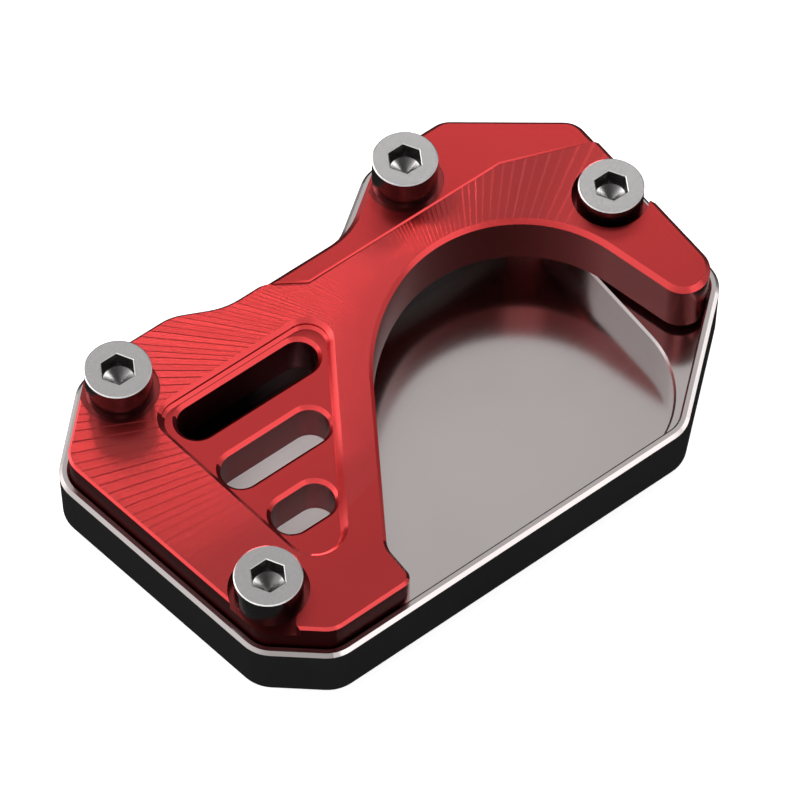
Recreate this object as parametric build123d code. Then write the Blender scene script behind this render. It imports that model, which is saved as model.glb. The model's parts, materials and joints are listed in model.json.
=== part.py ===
from build123d import *
import os
from math import cos, radians, sin, tan

# Kickstand foot enlarger: a tray-shaped base plate takes the foot of the stand,
# a clamp plate with a U cut-out goes round its leg, and four cap screws hold them.
# Millimetres, +Z up, origin at the middle of the base's outline, on its underside.
# +X runs along the straight near edge, -Y faces the near edge.

# Base plate, outline
base_length = 85.0
base_width = 55.5
base_height = 11.0
near_edge_start = 13.0        # left end of the near edge, from the left tip
near_edge_end = 17.85         # right end of the near edge, from the right edge
near_cut_angle = 40.0         # slope of both near corner cuts
left_lean = 9.0               # lean of the left edge from the Y axis
left_tip_y = 13.4             # height of the left tip above the middle
far_left_cut_angle = 44.4
hump_drop = 3.8               # hump at the left, below the far edge
hump_end = 24.2               # right end of the hump, from the left tip
waist_drop = 6.85             # waist in the far side, below the far edge
waist_start = 30.5            # left end of the waist, from the left tip
waist_end = 36.3              # right end of the waist, from the right edge
far_edge_start = 26.7         # both ends of the far edge, from the right edge
far_edge_end = 15.0
far_right_cut_angle = 37.2
corner_radius = 5.0
waist_radius = 8.0

# Base plate, section
lip_width = 1.25
lip_chamfer = 0.45
lip_bevel = 0.25
underside_chamfer = 2.5
recess_depth = 3.6            # lip top to the floor that carries the clamp plate
land_drop = 1.2               # land under the clamp's arm, below the recess floor
pocket_floor = 1.5            # metal left under the foot of the stand
pocket_ledge = 0.8            # ledge between the lip and the pocket along the near side
pocket_bevel = 0.3            # round the pocket where it meets the land
land_width = 9.6              # lip to pocket at the right
land_reach = 16.9             # land's far end, from the middle of the cut-out's arch
pocket_tail_margin = 1.4      # the pocket runs out under the top slot, and past it all round
pocket_corner_radius = 4.0
pocket_bend_radius = 13.7     # long bend round the near right corner
pocket_bar_cover = 4.75       # pocket under the bar, past the cut-out's edge, along X

# Clamp plate
fit_gap = 0.15                # clamp plate to the lip, all round
clamp_thickness = 8.2         # at the raised far face
clamp_chamfer = 0.8           # cut at one level, so the rake narrows it
face_rake = 0.25              # degrees, fan-cut face falling to the left
face_step = 0.12              # fan-cut face below the far face, at the right edge
step_bevel = 0.2
rear_relief = 0.35            # far zone's rim stands back further from the lip
step_start = (49.35, 8.35)    # line between the two faces, from the waist to the right edge:
step_bend = (44.25, 11.8)     # each point from the right edge and the far edge
step_turn = (13.95, 11.85)
step_end = (2.55, 16.15)

# U cut-out in the clamp plate
arch_from_right = 27.8        # centre of the arch, from the base's right edge
arch_from_near = 20.85        # centre of the arch, from the base's near edge
arch_radius = 17.65
arch_blend_radius = 26.0      # slower bend from the arch into the bar
arch_blend_angle = 112.6      # where that bend starts, from the +X axis
bar_angle = 57.2              # slope of the straight bar beside the cut-out
arm_lean = 13.7               # lean of the arm's inner side from the Y axis
arm_tip_radius = 3.4
arm_tip_share = 0.95           # most of the arm's end wall that the tip's radius may take
nose_height = 7.0             # the bar ends in an upright foot, this high above the near edge
nose_bend_radius = 3.0
nose_corner_radius = 1.5

# Sunk window beside the bar, with its three slots
bar_width = 5.05              # cut-out to the window's wall
left_band = 13.0              # base's left edge to the window's wall
window_lean = 7.4
far_band = 8.7                # waist to the window's wall
window_depth = 1.6
window_corner_radius = 3.0
window_foot_radius = 3.6
window_chamfer = 0.8
window_floor_bevel = 0.4
slot_width = 5.2
slot_pitch = 9.0
slot_shortest = 2.5           # straight length of the shortest slot that is cut
slot_far_margin = 1.0
slot_end_margin = 0.75
top_slot_setback = 0.95       # the top slot stops short of the rounded corners
slot_chamfer = 0.5

# Cap screws, M5 x 12
screw_diameter = 5.0
screw_length = 12.0
screw_tip_chamfer = 0.6
head_diameter = 8.5
head_height = 5.0
head_edge = 0.14
socket_width = 4.0            # across the flats
socket_depth = 2.5
socket_bevel = 0.1            # round the mouth of the hexagon
socket_cone_angle = 60.0      # half angle of the drilled bottom
screw_clearance = 0.5         # hole in the clamp plate, over the screw
thread_clearance = 0.1        # hole in the base plate, over the screw
seat_clearance = 1.6          # spot-face over the head, in diameter
seat_mouth = 7.3              # width of a seat where it runs out through the plate's edge
mouth_flare = 0.5             # easing of the two corners there
left_screw_inset = (12.5, 10.3)    # from the left tip and the far edge
rear_screw_inset = (25.2, 6.6)     # from the right edge and the far edge
right_screw_inset = (5.5, 31.3)    # from the right edge and the near edge
front_screw_inset = (10.5, 10.9)   # from the left tip and the near edge
left_seat_depth = 0.8         # seats are measured down from the far face
rear_seat_depth = 0.25
right_seat_depth = 3.0
front_seat_depth = 2.2

# Levels and shared places
left, right = -base_length / 2, base_length / 2
near, far = -base_width / 2, base_width / 2
recess_floor = base_height - recess_depth
land_floor = recess_floor - land_drop
face_top = recess_floor + clamp_thickness
window_floor = face_top - face_step - window_depth
clamp_inset = lip_width + fit_gap
seat_radius = (head_diameter + seat_clearance) / 2
waist_y = far - waist_drop
arch_x = right - arch_from_right
arch_y = near + arch_from_near
reach = 2 * base_length       # length of cutters that only have to clear the part

# From the right and the front screw to the clamp plate's edge beside it
right_seat_gap = right_screw_inset[0] - clamp_inset
front_edge_gap = front_screw_inset[1] * cos(radians(near_cut_angle))
front_edge_gap -= (near_edge_start - front_screw_inset[0]) * sin(radians(near_cut_angle))
front_seat_gap = front_edge_gap - clamp_inset

ON_BASE = (Align.CENTER, Align.CENTER, Align.MIN)

# Each screw: plan position and depth of its seat
screws = [
    (left + left_screw_inset[0], far - left_screw_inset[1], left_seat_depth),
    (right - rear_screw_inset[0], far - rear_screw_inset[1], rear_seat_depth),
    (right - right_screw_inset[0], near + right_screw_inset[1], right_seat_depth),
    (left + front_screw_inset[0], near + front_screw_inset[1], front_seat_depth),
]


def on_circle(x, y, radius, angle):
    return (x + radius * cos(radians(angle)), y + radius * sin(radians(angle)))


def rounded(points, radii):
    return make_face(FilletPolyline(*points, radius=radii, close=True))


def prism(sketch, bottom, top):
    return extrude(Pos(0, 0, bottom) * sketch, top - bottom)


def left_edge_x(y):
    """X of the base's left edge at a height y, before its corners are rounded."""
    return left_tip_x + (left_tip_y - y) * tan(radians(left_lean))


def bar_edge_x(y):
    """X of the cut-out's straight side at a height y."""
    return bar_top[0] + (y - bar_top[1]) / tan(radians(bar_angle))


# The left tip is rounded, so its sharp corner lies a little outside the length.
tip_turn = 90 + left_lean - far_left_cut_angle
tip_overhang = tan(radians(tip_turn / 2)) * sin(radians(left_lean)) + cos(radians(left_lean)) - 1
left_tip_x = left - corner_radius * tip_overhang

# Centre of the slower bend, and the point where it runs into the bar
blend_x, blend_y = on_circle(arch_x, arch_y, arch_radius - arch_blend_radius, arch_blend_angle)
bar_top = on_circle(blend_x, blend_y, arch_blend_radius, 90 + bar_angle)
nose_y = near + nose_height
nose_x = bar_edge_x(nose_y)


def base_outline():
    near_start_x = left + near_edge_start
    near_end_x = right - near_edge_end
    slope = tan(radians(near_cut_angle))
    lean = tan(radians(left_lean))
    # Where the near-left cut, rising to the left, reaches the leaning left edge
    left_foot_x = (left_tip_x + lean * (left_tip_y - near - slope * near_start_x)) / (1 - lean * slope)
    left_foot_y = near + slope * (near_start_x - left_foot_x)
    hump_y = far - hump_drop
    points = [
        (near_start_x, near),
        (near_end_x, near),
        (right, near + near_edge_end * slope),
        (right, far - far_edge_end * tan(radians(far_right_cut_angle))),
        (right - far_edge_end, far),
        (right - far_edge_start, far),
        (right - waist_end, waist_y),
        (left + waist_start, waist_y),
        (left + hump_end, hump_y),
        (left_tip_x + (hump_y - left_tip_y) / tan(radians(far_left_cut_angle)), hump_y),
        (left_tip_x, left_tip_y),
        (left_foot_x, left_foot_y),
    ]
    radii = [corner_radius] * len(points)
    for waist_corner in (6, 7, 8):
        radii[waist_corner] = waist_radius
    return rounded(points, radii)


def cut_out():
    """Region that the U cut-out takes from the clamp plate, open to the near side."""
    arm_top = on_circle(arch_x, arch_y, arch_radius, arm_lean)
    crown = on_circle(arch_x, arch_y, arch_radius, 90)
    blend_start = on_circle(arch_x, arch_y, arch_radius, arch_blend_angle)
    blend_middle = on_circle(blend_x, blend_y, arch_blend_radius, (arch_blend_angle + 90 + bar_angle) / 2)
    below = near - base_width
    arm_bottom = (arm_top[0] + (arm_top[1] - below) * tan(radians(arm_lean)), below)
    outline = [
        Line(arm_bottom, arm_top),
        ThreePointArc(arm_top, crown, blend_start),
        ThreePointArc(blend_start, blend_middle, bar_top),
        Line(bar_top, (nose_x, nose_y)),
        Line((nose_x, nose_y), (nose_x, below)),
        Line((nose_x, below), arm_bottom),
    ]
    return make_face(outline)


def clamp_outline(plate, inset):
    """The base's outline, drawn in to clear the lip, less the U cut-out."""
    outline = offset(plate, -inset) - cut_out()
    corners = outline.vertices()
    nose_bend = corners.sort_by_distance((nose_x, nose_y, 0))[0]
    nose_corner = corners.sort_by_distance((nose_x, near + inset, 0))[0]
    arm_tip = corners.filter_by(lambda v: v.X > arch_x).sort_by(Axis.Y)[0]
    end_wall = min(edge.length for edge in outline.edges() if edge.distance_to(arm_tip) == 0)
    tip_angle = 90 + arm_lean - near_cut_angle
    tip_limit = arm_tip_share * end_wall * tan(radians(tip_angle / 2))
    outline = fillet(nose_bend, nose_bend_radius)
    outline = fillet(outline.vertices().sort_by_distance(nose_corner.center())[0], nose_corner_radius)
    arm_tip = outline.vertices().sort_by_distance(arm_tip.center())[0]
    return fillet(arm_tip, min(arm_tip_radius, tip_limit))


def window_corners():
    """Sharp corners of the sunk window: far left, foot, far right."""
    far_y = waist_y - far_band
    lean = tan(radians(window_lean))
    slope = 1 / tan(radians(bar_angle))
    left_x = left_edge_x(0) + left_band
    right_x = bar_edge_x(0) - bar_width / sin(radians(bar_angle))
    foot_y = (left_x - right_x) / (slope + lean)
    return [
        (left_x - far_y * lean, far_y),
        (left_x - foot_y * lean, foot_y),
        (right_x + far_y * slope, far_y),
    ]


def slot_line(index):
    """Centres of the two end arcs of a slot, counted from the far side."""
    (left_x, far_y), _, (right_x, _) = window_corners()
    y = far_y - slot_far_margin - slot_width / 2 - index * slot_pitch
    setback = 0.0 if index else top_slot_setback
    end_reach = slot_width / 2 + slot_end_margin
    left_wall = left_x + (far_y - y) * tan(radians(window_lean))
    right_wall = right_x - (far_y - y) / tan(radians(bar_angle))
    start = left_wall + end_reach / cos(radians(window_lean)) + setback
    end = right_wall - end_reach / sin(radians(bar_angle)) - setback
    return start, end, y


def slots():
    """As many slots as the window takes, each a little shorter than the one before."""
    sketches = []
    start, end, y = slot_line(0)
    while end - start >= slot_shortest:
        sketches.append(Pos((start + end) / 2, y) * SlotCenterToCenter(end - start, slot_width))
        start, end, y = slot_line(len(sketches))
    return sketches


def pocket_sketch():
    """Foot pocket, with a wall under the bar and a tail under the top slot."""
    right_x = right - lip_width - land_width
    near_y = near + lip_width + pocket_ledge
    tail_start, _, tail_y = slot_line(0)
    tail_half = slot_width / 2 + pocket_tail_margin
    points = [
        (bar_edge_x(near_y) - pocket_bar_cover, near_y),
        (right_x, near_y),
        (right_x, tail_y + tail_half),
        (tail_start - tail_half, tail_y + tail_half),
        (tail_start - tail_half, tail_y - tail_half),
        (bar_edge_x(tail_y - tail_half) - pocket_bar_cover, tail_y - tail_half),
    ]
    radii = [pocket_corner_radius] * len(points)
    radii[1] = pocket_bend_radius
    return rounded(points, radii)


def base_plate(outline):
    inside = offset(outline, -lip_width)
    body = prism(outline, 0, base_height)
    body = chamfer(body.faces().sort_by(Axis.Z)[0].edges(), underside_chamfer)
    body = chamfer(body.faces().sort_by(Axis.Z)[-1].edges(), lip_chamfer)
    body -= prism(inside, recess_floor, reach)
    lip_inner = body.faces().sort_by(Axis.Z)[-1].inner_wires()[0].edges()
    body = chamfer(lip_inner, lip_bevel)
    land_size = (right - arch_x, arch_y + land_reach - near)
    land = Pos(arch_x, near) * Rectangle(*land_size, align=Align.MIN) & inside
    body -= prism(land, land_floor, reach)
    pocket = pocket_sketch()
    body -= prism(pocket, pocket_floor, reach)
    rim = extrude(Pos(0, 0, land_floor - pocket_bevel) * pocket, pocket_bevel, taper=-45)
    body -= rim & prism(land, 0, reach)
    for x, y, _ in screws:
        body -= Pos(x, y) * Cylinder((screw_diameter + thread_clearance) / 2, reach)
    return body


def fan_zone():
    """Near side of the line between the clamp plate's two faces."""
    points = [Vector(right - x, far - y) for x, y in (step_start, step_bend, step_turn, step_end)]
    line = [points[0] * 2 - points[1], points[1], points[2], points[3] * 2 - points[2]]
    frame = [(base_length, -base_width), (-base_length, -base_width), (-base_length, base_width)]
    return make_face(Polyline(*line, *frame, close=True))


def clamp_blank(outline):
    blank = prism(outline, recess_floor, face_top)
    return chamfer(blank.faces().sort_by(Axis.Z)[-1].edges(), clamp_chamfer)


def open_seat(angle, gap):
    """Round seat that runs out through the edge, which lies at this angle and distance."""
    half = seat_mouth / 2
    start, end = gap - mouth_flare, 2 * gap
    wide = half + end - start
    upper = [(0, half), (start, half), (end, wide)]
    lower = [(x, -y) for x, y in reversed(upper)]
    mouth = make_face(Polyline(*upper, *lower, close=True))
    return Rot(0, 0, angle) * (Circle(seat_radius) + mouth)


def clamp_plate(plate_outline):
    zone = fan_zone()
    near_side = prism(zone, 0, reach)
    fall = Pos(right, 0, face_top - face_step) * Rot(0, -face_rake, 0)
    above = fall * Box(2 * reach, 2 * reach, reach, align=ON_BASE)
    fan_part = (clamp_blank(clamp_outline(plate_outline, clamp_inset)) & near_side) - above
    bevel = extrude(Pos(0, 0, face_top - step_bevel) * zone, step_bevel, taper=-45)
    far_part = clamp_blank(clamp_outline(plate_outline, clamp_inset + rear_relief)) - near_side - bevel
    plate = fan_part + far_part
    window = rounded(window_corners(), [window_corner_radius, window_foot_radius, window_corner_radius])
    hollow = prism(window, window_floor, reach)
    hollow = chamfer(hollow.faces().sort_by(Axis.Z)[0].edges(), window_floor_bevel)
    flare_floor = face_top - face_step - window_chamfer
    flare = extrude(Pos(0, 0, flare_floor) * window, 2 * window_chamfer, taper=-45)
    plate -= hollow + flare
    for slot in slots():
        plate -= prism(slot, 0, reach)
        plate -= extrude(Pos(0, 0, window_floor - slot_chamfer) * slot, slot_chamfer, taper=-45)
    round_seat = Circle(seat_radius)
    right_seat = open_seat(0, right_seat_gap)
    front_seat = open_seat(270 - near_cut_angle, front_seat_gap)
    seats = [round_seat, round_seat, right_seat, front_seat]
    for (x, y, depth), seat in zip(screws, seats):
        plate -= Pos(x, y) * Cylinder((screw_diameter + screw_clearance) / 2, reach)
        plate -= prism(Pos(x, y) * seat, face_top - depth, reach)
    return plate


def cap_screw():
    """One screw, its head resting on z = 0."""
    half_head, half_shank = head_diameter / 2, screw_diameter / 2
    profile = Polyline(
        (0, -screw_length),
        (half_shank - screw_tip_chamfer, -screw_length),
        (half_shank, -screw_length + screw_tip_chamfer),
        (half_shank, 0),
        (half_head, 0),
        (half_head, head_height - head_edge),
        (half_head - head_edge, head_height),
        (0, head_height),
        close=True,
    )
    body = revolve(Plane.XZ * make_face(profile), Axis.Z)
    socket = RegularPolygon(socket_width / 2, 6, major_radius=False)
    body -= prism(socket, head_height - socket_depth, reach)
    body -= extrude(Pos(0, 0, head_height - socket_bevel) * socket, 2 * socket_bevel, taper=-45)
    cone_height = socket_width / 2 / tan(radians(socket_cone_angle))
    cone = Cone(0, socket_width / 2, cone_height, align=(Align.CENTER, Align.CENTER, Align.MAX))
    return body - Pos(0, 0, head_height - socket_depth) * cone


def main():
    outline = base_outline()
    screw = cap_screw()
    nodes = {
        "base_plate": base_plate(outline),
        "clamp_plate": clamp_plate(outline),
        "cap_screws": Compound([Pos(x, y, face_top - depth) * screw for x, y, depth in screws]),
    }
    os.makedirs("parts", exist_ok=True)
    for name, shape in nodes.items():
        export_step(shape, os.path.join("parts", name + ".step"))


main()
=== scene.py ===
import json
import random
from math import atan2, cos, degrees, hypot, pi, radians, sin, tan

import bmesh
import bpy
from mathutils import Matrix, Vector
from mathutils.bvhtree import BVHTree

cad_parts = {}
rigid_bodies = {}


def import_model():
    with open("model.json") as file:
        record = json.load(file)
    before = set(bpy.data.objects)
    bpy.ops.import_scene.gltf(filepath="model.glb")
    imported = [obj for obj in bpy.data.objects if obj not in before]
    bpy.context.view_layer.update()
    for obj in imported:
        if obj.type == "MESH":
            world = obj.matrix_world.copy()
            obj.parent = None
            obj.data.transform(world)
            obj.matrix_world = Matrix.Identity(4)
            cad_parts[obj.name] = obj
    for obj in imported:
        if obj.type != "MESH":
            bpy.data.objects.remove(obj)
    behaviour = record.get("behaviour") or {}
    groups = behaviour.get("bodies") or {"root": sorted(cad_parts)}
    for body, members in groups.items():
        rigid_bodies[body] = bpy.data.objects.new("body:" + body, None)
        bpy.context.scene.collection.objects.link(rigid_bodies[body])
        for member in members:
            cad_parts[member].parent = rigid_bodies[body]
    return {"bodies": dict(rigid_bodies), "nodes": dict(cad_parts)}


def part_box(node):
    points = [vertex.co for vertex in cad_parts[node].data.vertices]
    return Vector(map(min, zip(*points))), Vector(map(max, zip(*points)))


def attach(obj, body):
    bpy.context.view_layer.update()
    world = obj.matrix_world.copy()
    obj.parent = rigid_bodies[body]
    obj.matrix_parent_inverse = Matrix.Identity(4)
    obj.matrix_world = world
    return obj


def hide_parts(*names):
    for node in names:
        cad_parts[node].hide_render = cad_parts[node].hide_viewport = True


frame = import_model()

# Kickstand foot enlarger on a white floor, seen from above its near left corner.
# Everything is in metres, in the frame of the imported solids; MM turns millimetres into metres.
MM = 0.001

# Camera, as in the photograph
IMAGE_SIDE = 800
FOCAL_PIXELS = 4594.0
SENSOR = 36.0
CAMERA_AT = Vector((-185.6, -246.2, 500.2)) * MM
CAMERA_AIM = Vector((-5.05, -7.5, 20.5)) * MM
CAMERA_ROLL = radians(0.18)
CLIP_START = 10.0 * MM

# Fan-shaped cutter marks on the clamp plate's raked face; pairs are for the right and the left of FAN_FINEST
FAN_CENTRE = Vector((7.4, -7.5, 0.0)) * MM
FAN_START = 20.5              # degrees, counter-clockwise from +X: from the right-hand screw
FAN_END = 193.3               # round to the front one
FAN_FINEST = 90.0             # direction in which the marks lie closest
FAN_SEED = 7
PITCH_LEAST = 1.1             # degrees from mark to mark
PITCH_GAIN = (2.4, 0.5)
PITCH_JITTER = (0.10, 0.18)
STEEP_SHARE = (0.22, 0.14)    # steep flank's share of a mark's width
SIDE_STRENGTH = (1.65, 1.0)
FLANK_SLOPE = 1.4             # degrees, gentle flank
FLANK_LEAST = 0.75            # share of that slope where the marks are faintest
FLANK_GAIN = 2.2              # how soon they reach the whole slope on either side
FLANK_JITTER = (0.25, 0.4)
FADE_IN = 24.0                # degrees after its start in which the marks reach their full strength
FADE_FROM = 150.0             # the marks fade out towards the near left corner
FADE_TO = 187.0
CALM_RADIUS = 16.0 * MM       # and towards the fan's centre
CALM_WIDTH = 9.5 * MM

# Mesh work on the clamp plate
MERGE = 0.001 * MM            # corners closer than this are one
CUT_SNAP = 0.0005 * MM        # a cut closer than this to a corner goes through it
SHARP_MARK = radians(0.6)     # edges that turn more than this stay sharp, between two fan-cut faces
SHARP_EDGE = radians(25.0)    # and elsewhere
RAY_START = 0.01 * MM         # rays start this far off their own face
LEVEL_DIGITS = 2              # heights in millimetres are compared to this many digits

# How a face lies, by its normal
FAN_LEVEL = 0.9999            # the raked face looks up more than this
FAN_LEAN = -0.002             # and to the left
LEVEL = 0.99                  # level floors look up more than this
NEARLY_LEVEL = 0.9            # bevels look up less than this
SLANTED = 0.5                 # and more than this
WALL_TILT = 0.3               # walls look up less than this
LOOKS_UP = 0.1
LOOKS_RIGHT = 0.45
LOOKS_LEFT = -0.3
LOOKS_BACK = 0.5

# Red dye, where the light gets through it and where it lies deep; painted shade darkens walls and seats,
# holes the most
RED_THIN = (0.96, 0.066, 0.068)
RED_THICK = (0.90, 0.056, 0.058)
WALL_SHADE_THIN = (0.52, 0.044, 0.045)
WALL_SHADE_THICK = (0.44, 0.037, 0.038)
DEEP_SHADE_THIN = (0.15, 0.013, 0.016)
DEEP_SHADE_THICK = (0.11, 0.009, 0.012)
DIM_FROM = -20.0 * MM         # the red is darker towards the near edge, from one Y to the other
DIM_TO = 0.0 * MM
DIM_SHARE = 0.87
ROUGHNESS_RANGE = 0.03
BRUSHED = 0.9                 # anisotropy where the marks are deepest
BRUSH_FADE = 14.0             # degrees in which it fades at either end of the fan
LINE_CHANGE = 1.5             # a metre outwards changes the finest lines as much as this turn in radians
SATIN, FAN_CUT, WALL_SHADE_FINISH, DEEP_SHADE_FINISH = range(4)
SHADE_EDGE = -15.0 * MM       # on the left of this X, right-hand bevels and outer left walls are darkened with painted shade
SEAT_ACROSS = 10.5 * MM       # a wall with another as close as this in front of it is a hole's or a seat's
SLOT_ACROSS = 20.0 * MM       # and low down, as close as this, a slot's
SLOT_WALL_TOP = 13.5 * MM

# Base plate: black outside, bare metal on the lip and inside
BLACK_DEEP = (0.0080, 0.0075, 0.0077)
BLACK_THIN = (0.0110, 0.0103, 0.0106)
METAL_DULL = (0.84, 0.765, 0.755)
METAL_BRIGHT = (0.90, 0.825, 0.815)
PASS_SCALE = (40.0, 1500.0, 40.0)
BLACK, MACHINED, MATTE, SHADED, SHADE_DIMMED = range(5)
TAIL_DARK = -14.0 * MM        # painted shade darkens the pocket's tail under the top slot, from one X to the other
TAIL_LIGHT = -7.0 * MM
TAIL_NEAR = 6.0 * MM          # from one Y to the other
TAIL_FAR = 9.0 * MM
TAIL_TOP = 7.2 * MM           # and up to this height
TAIL_SHARE = 0.06
SHADE_NEAR = -6.0 * MM        # pocket walls beyond this Y lie in the clamp plate's shade, left of the next X
SHADE_RIGHT = 20.0 * MM
SHADE_DIMMED_FROM = 15.0 * MM         # left-hand bevels are dimmed with painted shade left of SHADE_EDGE and right of this X
FLOOR_SLACK = 0.05 * MM       # the recess floor lies this near to the clamp plate's underside

# Screws
HEAD_TOP, HEAD_SIDE_SHADE, SOCKET_FLAT_SHADE, SOCKET_BOTTOM = range(4)
SOCKET_ACROSS = 6.0 * MM      # more than the width of a screw's socket

GRAIN_DEPTH = 0.02 * MM       # relief of the fine grain on every finish
LINE_DEPTH = 0.03 * MM        # and of the cutter's finest lines

# Studio: each list of stops goes from facing away from a direction to facing it
DARK_TURN = 262.0             # degrees, counter-clockwise from +X
DARK_RISE = 50.0
WALL_STOPS = [(0.0, 0.30), (0.6, 0.37), (0.68, 0.32), (0.78, 0.28), (0.88, 0.12), (0.95, 0.07), (1.0, 0.03)]
BAND_STOPS = [(0.05, 0.04), (0.28, 0.06), (0.46, 0.45), (0.56, 0.7), (0.72, 0.7), (0.84, 0.0)]
BAND_TURN = 200.0             # the band is bright on this side and dim on the other
BAND_SIDE_STOPS = [(0.3, 0.25), (0.6, 1.0)]
GROUND_STOPS = [(0.45, 0.0), (0.52, 1.0)]
GLOW_TURN = 121.0             # low glow on the left, as the window's bevels mirror it
GLOW_RISE = 5.0
GLOW_STOPS = [(0.92, 0.0), (0.97, 0.9)]
FLOOR_SIDE = 4.0
FLOOR_WHITE = (0.8, 0.8, 0.8, 1.0)
FLOOR_GLOW = 0.85
PANEL_AIM = Vector((0.0, 0.0, 10.0)) * MM
SLOTS_AIM = Vector((-16.0, -2.0, 7.0)) * MM


def clear_stage():
    """Removes what an empty Blender file holds, apart from the frame."""
    kept = set(frame["nodes"].values()) | set(frame["bodies"].values())
    for thing in list(bpy.data.objects):
        if thing not in kept:
            bpy.data.objects.remove(thing)


def set_stops(ramp, stops):
    """Gives a colour ramp its stops, each a position and a colour."""
    elements = ramp.color_ramp.elements
    while len(elements) < len(stops):
        elements.new(1.0)
    for element, (position, colour) in zip(elements, stops):
        element.position = position
        element.color = (*colour, 1.0)


class Shader:
    """A material with a Principled surface, and short calls to add nodes to it."""

    def __init__(self, name, **sockets):
        self.material = bpy.data.materials.new(name)
        self.material.use_nodes = True
        self.tree = self.material.node_tree
        self.surface = self.tree.nodes["Principled BSDF"]
        for socket, value in sockets.items():
            self.surface.inputs[socket.replace("_", " ")].default_value = value

    def node(self, kind, inputs=(), **settings):
        made = self.tree.nodes.new("ShaderNode" + kind)
        for setting, value in settings.items():
            setattr(made, setting, value)
        for socket, value in enumerate(inputs):
            if isinstance(value, bpy.types.NodeSocket):
                self.tree.links.new(value, made.inputs[socket])
            else:
                made.inputs[socket].default_value = value
        return made

    def math(self, operation, *inputs):
        return self.node("Math", inputs, operation=operation).outputs[0]

    def vector_math(self, operation, *inputs):
        return self.node("VectorMath", inputs, operation=operation).outputs[0]

    def place(self):
        return self.node("TexCoord").outputs["Object"]

    def split(self, vector):
        return self.node("SeparateXYZ", (vector,)).outputs

    def noise(self, vector, scale, detail=2.0, dimensions="3D"):
        made = self.node("TexNoise", noise_dimensions=dimensions)
        self.tree.links.new(vector, made.inputs["Vector"])
        made.inputs["Scale"].default_value = scale
        made.inputs["Detail"].default_value = detail
        return made.outputs["Fac"]

    def ramp(self, factor, stops):
        made = self.node("ValToRGB", (factor,))
        set_stops(made, stops)
        return made.outputs["Color"]

    def spread(self, value, levels, span=(0.0, 1.0)):
        """Goes from one level to the other as a value crosses a span."""
        return self.node("MapRange", (value, *span, *levels)).outputs[0]

    def link(self, output, socket):
        self.tree.links.new(output, self.surface.inputs[socket])

    def bump(self, height, strength, distance):
        made = self.node("Bump")
        made.inputs["Strength"].default_value = strength
        made.inputs["Distance"].default_value = distance
        self.tree.links.new(height, made.inputs["Height"])
        self.link(made.outputs["Normal"], "Normal")


def red_anodised(name, thin, thick, fan_cut=False, coat=1.0, roughest=0.28):
    """Red anodised aluminium: fan-cut where the cutter left its marks, satin elsewhere."""
    red = Shader(name, Metallic=1.0, Coat_Weight=coat, Coat_Roughness=0.2)
    place = red.place()
    cloud = red.noise(place, scale=60.0, detail=3.0)
    dye = red.ramp(cloud, [(0.25, thick), (0.75, thin)])
    dim = red.spread(red.split(place)["Y"], (DIM_SHARE, 1.0), (DIM_FROM, DIM_TO))
    red.link(red.vector_math("MULTIPLY", dye, dim), "Base Color")
    roughness = (roughest - ROUGHNESS_RANGE, roughest)
    if not fan_cut:
        grain = red.noise(place, scale=4200.0)
        red.link(red.spread(grain, roughness), "Roughness")
        red.bump(grain, strength=0.10, distance=GRAIN_DEPTH)
        return red.material
    arm = red.vector_math("SUBTRACT", place, tuple(FAN_CENTRE))
    red.link(red.vector_math("CROSS_PRODUCT", (0.0, 0.0, 1.0), arm), "Tangent")
    split = red.split(arm)
    turn = red.math("ARCTAN2", split["Y"], split["X"])
    full_turn = red.math("WRAP", turn, 2 * pi, 0.0)
    reach = red.node("VectorMath", (arm,), operation="LENGTH").outputs["Value"]
    brushed = red.spread(reach, (0.0, BRUSHED), (CALM_RADIUS, CALM_RADIUS + CALM_WIDTH))
    for end, inside in ((FAN_START, FAN_START + BRUSH_FADE), (FAN_END, FAN_END - BRUSH_FADE)):
        fade = red.spread(full_turn, (0.0, 1.0), (radians(end), radians(inside)))
        brushed = red.math("MULTIPLY", brushed, fade)
    red.link(brushed, "Anisotropic")
    polar = red.node("CombineXYZ", (turn, red.math("MULTIPLY", reach, LINE_CHANGE), 0.0)).outputs[0]
    lines = red.noise(polar, scale=240.0, detail=3.0, dimensions="2D")
    red.link(red.spread(lines, roughness), "Roughness")
    red.bump(lines, strength=0.18, distance=LINE_DEPTH)
    return red.material


def black_anodised():
    black = Shader("black_anodised", Metallic=0.0, Specular_IOR_Level=0.15)
    place = black.place()
    grain = black.noise(place, scale=5200.0)
    cloud = black.noise(place, scale=45.0, detail=3.0)
    black.link(black.ramp(cloud, [(0.3, BLACK_DEEP), (0.7, BLACK_THIN)]), "Base Color")
    black.link(black.spread(grain, (0.46, 0.62)), "Roughness")
    black.bump(grain, strength=0.15, distance=GRAIN_DEPTH)
    return black.material


def machined_aluminium(name, roughness, painted_light_level=1.0):
    """Bare milled aluminium, with the faint straight lines of its finishing passes; painted shade darkens
    the pocket's tail, and a painted light level below 1 darkens all of it.
    """
    metal = Shader(name, Metallic=1.0)
    place = metal.place()
    cloud = metal.noise(place, scale=38.0, detail=3.0)
    bare = metal.ramp(cloud, [(0.3, METAL_DULL), (0.7, METAL_BRIGHT)])
    split = metal.split(place)
    # painted shade: darker in the pocket's tail under the top slot, and all over by the painted light level
    bright = metal.spread(split["X"], (TAIL_SHARE * painted_light_level, painted_light_level), (TAIL_DARK, TAIL_LIGHT))
    above = metal.math("GREATER_THAN", split["Z"], TAIL_TOP)
    near = metal.spread(split["Y"], (1.0, 0.0), (TAIL_NEAR, TAIL_FAR))
    for outside in (above, near):
        bright = metal.math("MAXIMUM", bright, metal.math("MULTIPLY", outside, painted_light_level))
    metal.link(metal.vector_math("MULTIPLY", bare, bright), "Base Color")
    passes = metal.noise(metal.vector_math("MULTIPLY", place, PASS_SCALE), scale=1.0)
    metal.link(metal.spread(passes, roughness), "Roughness")
    metal.bump(passes, strength=0.02, distance=GRAIN_DEPTH)
    return metal.material


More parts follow.
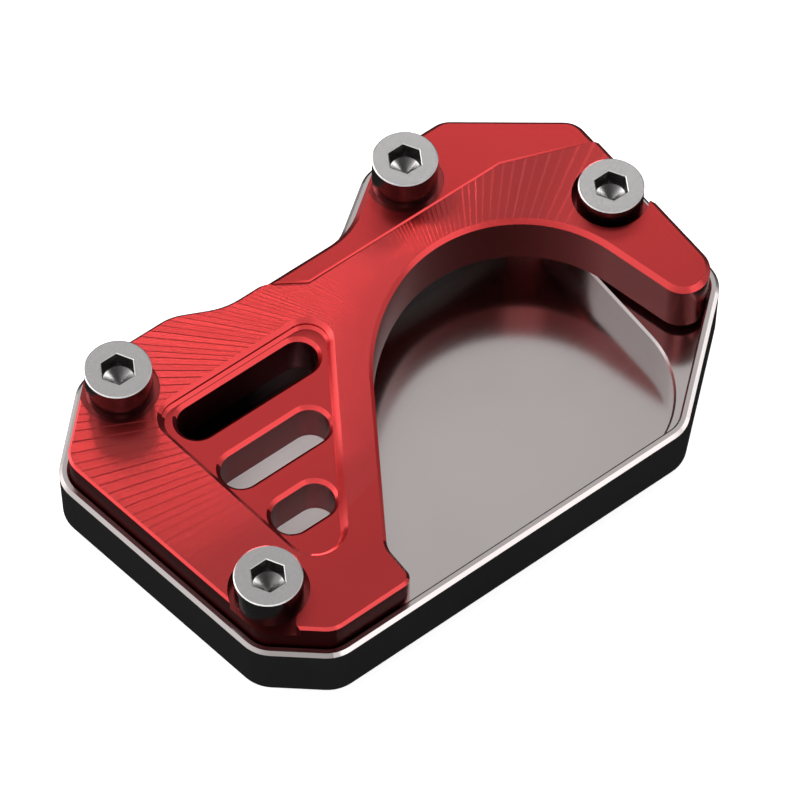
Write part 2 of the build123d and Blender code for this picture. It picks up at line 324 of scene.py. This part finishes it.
def screw_steel(name, dull, bright, roughness):
    """Plain steel with a fine grain."""
    steel = Shader(name, Metallic=1.0)
    grain = steel.noise(steel.place(), scale=3600.0)
    steel.link(steel.ramp(grain, [(0.3, dull), (0.7, bright)]), "Base Color")
    steel.link(steel.spread(grain, roughness), "Roughness")
    steel.bump(grain, strength=0.10, distance=GRAIN_DEPTH)
    return steel.material


def add_materials(data, *finishes):
    for finish in finishes:
        data.materials.append(finish)


def is_bevel(normal):
    return SLANTED < normal.z < NEARLY_LEVEL


class Fan:
    """The cutter marks: a saw-tooth round the fan's centre, finest in the middle."""

    def __init__(self):
        draw = random.Random(FAN_SEED)
        self.marks = []
        angle = FAN_START
        while angle < FAN_END:
            side = 0 if angle < FAN_FINEST else 1
            away = sin(radians(angle - FAN_FINEST)) ** 2
            jitter = draw.uniform(-PITCH_JITTER[side], PITCH_JITTER[side])
            pitch = (PITCH_LEAST + PITCH_GAIN[side] * away) * (1 + jitter)
            strength = FLANK_LEAST + (1 - FLANK_LEAST) * min(1.0, FLANK_GAIN * away)
            fade_out = max(0.0, (FADE_TO - angle) / (FADE_TO - FADE_FROM))
            strength *= min(1.0, fade_out, (angle - FAN_START) / FADE_IN) * SIDE_STRENGTH[side]
            strength *= 1 + draw.uniform(-FLANK_JITTER[side], FLANK_JITTER[side])
            valley = radians(pitch) * tan(radians(FLANK_SLOPE * strength))
            self.marks.append((angle, pitch, 1 - STEEP_SHARE[side], valley))
            angle += pitch

    def cuts(self):
        """Directions of the lines along which the face is divided."""
        for angle, pitch, crest, _ in self.marks:
            yield angle
            yield angle + crest * pitch

    def covers(self, point):
        arm = point - FAN_CENTRE
        return FAN_START < degrees(atan2(arm.y, arm.x)) % 360 < FAN_END

    def depth(self, point):
        """How far the cutter went below the plane of the face, between one valley and the next."""
        arm = point - FAN_CENTRE
        angle = degrees(atan2(arm.y, arm.x)) % 360
        for (start, pitch, crest, valley), (_, _, _, next_valley) in zip(self.marks, self.marks[1:]):
            share = (angle - start) / pitch
            if 0 <= share < 1:
                reach = hypot(arm.x, arm.y)
                reach *= min(1.0, max(0.0, (reach - CALM_RADIUS) / CALM_WIDTH))
                if share < crest:
                    return reach * valley * (1 - share / crest)
                return reach * next_valley * (share - crest) / (1 - crest)
        return 0.0


def cut_marks(mesh, fan, flag):
    """Divides the flagged faces along the marks' lines and lowers each corner to the cutter's depth."""
    for direction in fan.cuts():
        arm = Vector((cos(radians(direction)), sin(radians(direction)), 0.0))
        side = Vector((-arm.y, arm.x, 0.0))
        reached = []
        for face in mesh.faces:
            if face[flag] and any((vert.co - FAN_CENTRE).dot(arm) > 0 for vert in face.verts):
                reached.append(face)
        geometry = set(reached)
        for face in reached:
            geometry.update(face.edges)
            geometry.update(face.verts)
        bmesh.ops.bisect_plane(mesh, geom=list(geometry), dist=CUT_SNAP, plane_co=FAN_CENTRE, plane_no=side)
    for vert in {vert for face in mesh.faces if face[flag] for vert in face.verts}:
        vert.co.z -= fan.depth(vert.co)
    mesh.normal_update()


def finish_clamp(mesh, fan, flag):
    """Chooses each face's finish: fan-cut or satin on top, darkened with painted shade in seats, on walls
    and in holes.
    """
    solid = BVHTree.FromBMesh(mesh)
    heads = BVHTree.FromObject(frame["nodes"]["cap_screws"], bpy.context.evaluated_depsgraph_get())

    def height(face):
        return round(face.calc_center_median().z / MM, LEVEL_DIGITS)

    def ray_start(face):
        return face.calc_center_median() + face.normal * RAY_START

    floors = [face for face in mesh.faces if face.normal.z > LEVEL and not face[flag]]
    seat_heights = set()
    for face in floors:
        if heads.ray_cast(ray_start(face), face.normal, SEAT_ACROSS)[0] is not None:
            seat_heights.add(height(face))

    def finish(face):
        middle = face.calc_center_median()
        if face[flag]:
            return FAN_CUT if fan.covers(middle) else SATIN
        if face.normal.z > LEVEL:
            return WALL_SHADE_FINISH if height(face) in seat_heights else SATIN
        on_left = middle.x < SHADE_EDGE
        if is_bevel(face.normal) and face.normal.x > LOOKS_RIGHT and on_left:
            return DEEP_SHADE_FINISH
        if face.normal.z >= WALL_TILT:
            return SATIN
        across = solid.ray_cast(ray_start(face), face.normal, SLOT_ACROSS)[3]
        if across is None:
            return DEEP_SHADE_FINISH if face.normal.x < LOOKS_LEFT and on_left else WALL_SHADE_FINISH
        return DEEP_SHADE_FINISH if middle.z < SLOT_WALL_TOP or across < SEAT_ACROSS else WALL_SHADE_FINISH

    for face in mesh.faces:
        face.smooth = True
        face.material_index = finish(face)


def sharpen_edges(mesh, flag):
    """Keeps the marks and the plate's own edges sharp."""
    for edge in mesh.edges:
        fan_sides = sum(face[flag] for face in edge.link_faces)
        limit = SHARP_MARK if fan_sides == 2 else SHARP_EDGE
        edge.smooth = fan_sides != 1 and edge.calc_face_angle(0.0) < limit


def fan_cut_clamp():
    """The clamp plate with its cutter marks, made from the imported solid."""
    mesh = bmesh.new()
    mesh.from_mesh(frame["nodes"]["clamp_plate"].data)
    bmesh.ops.remove_doubles(mesh, verts=mesh.verts, dist=MERGE)
    mesh.normal_update()
    flag = mesh.faces.layers.int.new("fan_cut")
    for face in mesh.faces:
        face[flag] = int(face.normal.z > FAN_LEVEL and face.normal.x < FAN_LEAN)
    fan = Fan()
    cut_marks(mesh, fan, flag)
    finish_clamp(mesh, fan, flag)
    sharpen_edges(mesh, flag)
    data = bpy.data.meshes.new("clamp_plate_cut")
    mesh.to_mesh(data)
    mesh.free()
    piece = bpy.data.objects.new("clamp_plate_cut", data)
    bpy.context.scene.collection.objects.link(piece)
    add_materials(
        data,
        red_anodised("red_anodised_satin", RED_THIN, RED_THICK, coat=0.6),
        red_anodised("red_anodised_fan_cut", RED_THIN, RED_THICK, fan_cut=True),
        # the wall and deep reds are the same red darkened with painted shade
        red_anodised("red_anodised_wall_shade", WALL_SHADE_THIN, WALL_SHADE_THICK),
        red_anodised("red_anodised_deep_shade", DEEP_SHADE_THIN, DEEP_SHADE_THICK, coat=0.05, roughest=0.5),
    )
    weight = piece.modifiers.new("flat_faces_stay_flat", "WEIGHTED_NORMAL")
    weight.keep_sharp = True
    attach(piece, "root")
    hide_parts("clamp_plate")
    return piece


def dress_base():
    """Black outside and underneath, bare metal on the lip and inside; painted shade darkens pocket walls
    under the clamp plate, the pocket's tail and some bevels.
    """
    base = frame["nodes"]["base_plate"]
    clamp_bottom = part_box("clamp_plate")[0][2]
    base.data.materials.clear()
    add_materials(
        base.data,
        black_anodised(),
        machined_aluminium("machined_aluminium", roughness=(0.13, 0.19)),
        machined_aluminium("matte_aluminium", roughness=(0.55, 0.70)),
        # darker copy with painted shade, for pocket walls under the clamp plate
        machined_aluminium("shaded_aluminium", roughness=(0.30, 0.40), painted_light_level=0.2),
        # dimmed copy with painted shade, for left-looking bevels at the far left and far right
        machined_aluminium("shade_dimmed_aluminium", roughness=(0.16, 0.22), painted_light_level=0.62),
    )
    solid = BVHTree.FromObject(base, bpy.context.evaluated_depsgraph_get())

    def finish(normal, middle):
        if is_bevel(normal):
            if normal.x < LOOKS_LEFT and not SHADE_EDGE < middle.x < SHADE_DIMMED_FROM:
                return SHADE_DIMMED
            if normal.y > LOOKS_BACK and middle.y < 0:
                return BLACK
        if normal.z > NEARLY_LEVEL and abs(middle.z - clamp_bottom) < FLOOR_SLACK:
            return MATTE
        if normal.z <= LOOKS_UP and solid.ray_cast(middle + normal * RAY_START, normal)[0] is None:
            return BLACK
        under_clamp = middle.z < TAIL_TOP and middle.y > SHADE_NEAR and middle.x < SHADE_RIGHT
        return SHADED if under_clamp and abs(normal.z) < WALL_TILT else MACHINED

    for polygon in base.data.polygons:
        polygon.material_index = finish(polygon.normal, polygon.center)


def dress_screws():
    """Bright head tops over sides darkened with painted shade, and sockets whose flats are darkened with
    painted shade over a bright drilled bottom.
    """
    screws = frame["nodes"]["cap_screws"]
    screws.data.materials.clear()
    add_materials(
        screws.data,
        screw_steel("screw_steel", (0.89, 0.86, 0.86), (0.96, 0.93, 0.93), roughness=(0.20, 0.28)),
        # sides and socket flats are the steel darkened with painted shade
        screw_steel("screw_side_shade", (0.17, 0.162, 0.162), (0.22, 0.21, 0.21), roughness=(0.18, 0.26)),
        screw_steel("socket_flat_shade", (0.10, 0.095, 0.095), (0.16, 0.15, 0.15), roughness=(0.20, 0.30)),
        screw_steel("socket_bottom", (0.72, 0.70, 0.70), (0.80, 0.78, 0.78), roughness=(0.34, 0.44)),
    )
    solid = BVHTree.FromObject(screws, bpy.context.evaluated_depsgraph_get())
    for polygon in screws.data.polygons:
        start = polygon.center + polygon.normal * RAY_START
        in_socket = solid.ray_cast(start, polygon.normal, SOCKET_ACROSS)[0] is not None
        upright = abs(polygon.normal.z) < WALL_TILT
        if in_socket:
            polygon.material_index = SOCKET_FLAT_SHADE if upright else SOCKET_BOTTOM
        else:
            polygon.material_index = HEAD_SIDE_SHADE if upright else HEAD_TOP


def add_floor():
    bpy.ops.mesh.primitive_plane_add(size=FLOOR_SIDE, location=(0.0, 0.0, 0.0))
    floor = bpy.context.object
    floor.name = "floor"
    white = Shader("floor_white", Roughness=0.9, Specular_IOR_Level=0.1, Base_Color=FLOOR_WHITE,
                   Emission_Color=(1.0, 1.0, 1.0, 1.0), Emission_Strength=FLOOR_GLOW)
    floor.data.materials.append(white.material)
    floor.visible_glossy = False
    return floor


def aimed(place, aim):
    """Rotation that turns an object's -Z towards a point."""
    return (Vector(aim) - Vector(place)).to_track_quat("-Z", "Y")


def heading(turn, rise):
    """Direction at a turn from +X and a rise above the floor, both in degrees."""
    level = cos(radians(rise))
    return Vector((level * cos(radians(turn)), level * sin(radians(turn)), sin(radians(rise))))


def add_panel(name, turn, rise, size, brightness, lit=None, distance=1.0, aim=PANEL_AIM, spread=180.0):
    """Soft light panel that faces a point; where things are named, it lights only those."""
    lamp = bpy.data.lights.new(name, "AREA")
    lamp.shape = "RECTANGLE"
    lamp.size, lamp.size_y = size
    lamp.energy = brightness * pi * size[0] * size[1]
    lamp.spread = radians(spread)
    place = aim + distance * heading(turn, rise)
    panel = bpy.data.objects.new(name, lamp)
    panel.location = place
    panel.rotation_mode = "QUATERNION"
    panel.rotation_quaternion = aimed(place, aim)
    bpy.context.scene.collection.objects.link(panel)
    if lit:
        receivers = bpy.data.collections.new(name + "_lights")
        for thing in lit:
            receivers.objects.link(thing)
        panel.light_linking.receiver_collection = receivers


def add_panels(clamp, floor):
    """Main light from behind, and small ones for what single pieces mirror."""
    base = frame["nodes"]["base_plate"]
    screws = frame["nodes"]["cap_screws"]
    add_panel("back", turn=50.0, rise=32.0, size=(0.95, 0.3), brightness=6.2, distance=1.2)
    add_panel("rear_left", turn=100.0, rise=50.0, size=(0.3, 0.3), brightness=3.6, lit=[clamp])
    add_panel("pocket_sheen", turn=53.0, rise=60.0, size=(0.5, 0.5), brightness=0.13, lit=[base])
    add_panel("overhead", turn=53.0, rise=89.0, size=(0.35, 0.35), brightness=9.0, lit=[floor])
    add_panel("window_beam", turn=233.0, rise=75.0, size=(0.022, 0.026), brightness=0.66, lit=[base],
              distance=0.4, aim=SLOTS_AIM, spread=3.0)
    add_panel("left_fill", turn=130.0, rise=45.0, size=(0.4, 0.4), brightness=1.5, lit=[screws])
    add_panel("right_fill", turn=336.0, rise=45.0, size=(0.4, 0.4), brightness=1.5, lit=[screws])
    add_panel("front_strip", turn=233.0, rise=28.0, size=(1.6, 0.14), brightness=0.6,
              lit=[clamp, screws, floor])
    add_panel("arch_glow", turn=233.0, rise=58.0, size=(0.3, 0.3), brightness=0.35, lit=[clamp])
    add_panel("right_low", turn=340.0, rise=9.0, size=(1.0, 0.26), brightness=0.75, lit=[base])
    add_panel("lip_strip", turn=290.0, rise=25.0, size=(0.9, 0.3), brightness=0.6, lit=[base, clamp])


def add_world():
    """Studio round the object: a bright band low down, softer light behind, dark at the camera and below."""
    world = bpy.data.worlds.new("studio")
    world.use_nodes = True
    tree = world.node_tree
    direction = tree.nodes.new("ShaderNodeTexCoord").outputs["Generated"]

    def graded(toward, stops):
        """Level by how far a direction turns towards another."""
        nearness = tree.nodes.new("ShaderNodeVectorMath")
        nearness.operation = "DOT_PRODUCT"
        nearness.inputs[1].default_value = toward
        tree.links.new(direction, nearness.inputs[0])
        share = tree.nodes.new("ShaderNodeMapRange")
        share.inputs["From Min"].default_value = -1.0
        tree.links.new(nearness.outputs["Value"], share.inputs["Value"])
        ramp = tree.nodes.new("ShaderNodeValToRGB")
        set_stops(ramp, [(position, (level, level, level)) for position, level in stops])
        tree.links.new(share.outputs["Result"], ramp.inputs["Fac"])
        return ramp.outputs["Color"]

    def combined(operation, first, second):
        made = tree.nodes.new("ShaderNodeVectorMath")
        made.operation = operation
        tree.links.new(first, made.inputs[0])
        tree.links.new(second, made.inputs[1])
        return made.outputs[0]

    up = heading(0.0, 90.0)
    walls = combined("MULTIPLY", graded(heading(DARK_TURN, DARK_RISE), WALL_STOPS), graded(up, GROUND_STOPS))
    band = combined("MULTIPLY", graded(up, BAND_STOPS), graded(heading(BAND_TURN, 0.0), BAND_SIDE_STOPS))
    glow = graded(heading(GLOW_TURN, GLOW_RISE), GLOW_STOPS)
    lit = combined("ADD", combined("ADD", walls, band), glow)
    tree.links.new(lit, tree.nodes["Background"].inputs["Color"])
    bpy.context.scene.world = world


def add_camera():
    lens = bpy.data.cameras.new("camera")
    lens.sensor_width = SENSOR
    lens.lens = FOCAL_PIXELS / IMAGE_SIDE * SENSOR
    lens.clip_start = CLIP_START
    camera = bpy.data.objects.new("camera", lens)
    camera.location = CAMERA_AT
    camera.rotation_mode = "QUATERNION"
    roll = Matrix.Rotation(CAMERA_ROLL, 3, "Z").to_quaternion()
    camera.rotation_quaternion = aimed(CAMERA_AT, CAMERA_AIM) @ roll
    bpy.context.scene.collection.objects.link(camera)
    bpy.context.scene.camera = camera


clear_stage()
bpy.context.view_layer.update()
clamp = fan_cut_clamp()
dress_base()
dress_screws()
floor = add_floor()
add_world()
add_panels(clamp, floor)
add_camera()
bpy.context.scene.view_settings.view_transform = "Standard"
